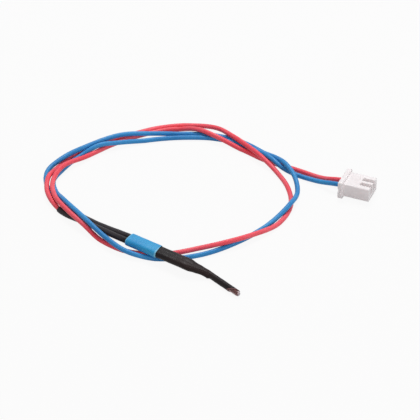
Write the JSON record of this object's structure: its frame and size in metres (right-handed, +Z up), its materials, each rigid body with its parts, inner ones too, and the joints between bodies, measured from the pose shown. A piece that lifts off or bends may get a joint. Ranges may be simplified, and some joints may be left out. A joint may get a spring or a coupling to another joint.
{
  "type": "temperature sensor",
  "caption": "Bead temperature probe in slim black shrink sleeving on a twisted pair of insulated leads with a crimp plug.",
  "frame": {"origin": "table level under the middle of the probe's box, leads and plug left out", "axes": "+X along the thin end of the probe towards its tip, +Z up from the table it lies on"},
  "size_m": [0.0869, 0.0795, 0.0058],
  "materials": {
    "plug_plastic": "satin moulded",
    "contact_metal": "tin plated",
    "wire_metal": "tinned",
    "red_insulation": "smooth",
    "blue_insulation": "smooth",
    "black_film": "satin shrunk film",
    "blue_film": "satin shrunk film",
    "white_liner": "smooth",
    "bead_glass": "glossy",
    "chip": "matte ceramic"
  },
  "bodies": {
    "root": {"connector_housing": "plug_plastic", "contact_red": "contact_metal", "contact_blue": "contact_metal", "strands_red_plug": "wire_metal", "strands_blue_plug": "wire_metal", "lead_red": "red_insulation", "lead_blue": "blue_insulation", "sleeve_red": "black_film", "sleeve_blue": "black_film", "marker_band": "blue_film", "outer_sleeve": "black_film", "strands_red_splice": "wire_metal", "strands_blue_splice": "wire_metal", "ferrule_red": "contact_metal", "ferrule_blue": "contact_metal", "bead_wire_red": "wire_metal", "bead_wire_blue": "wire_metal", "liner_red": "white_liner", "liner_blue": "white_liner", "bead_glass": "bead_glass", "thermistor_chip": "chip"}
  },
  "joints": []
}
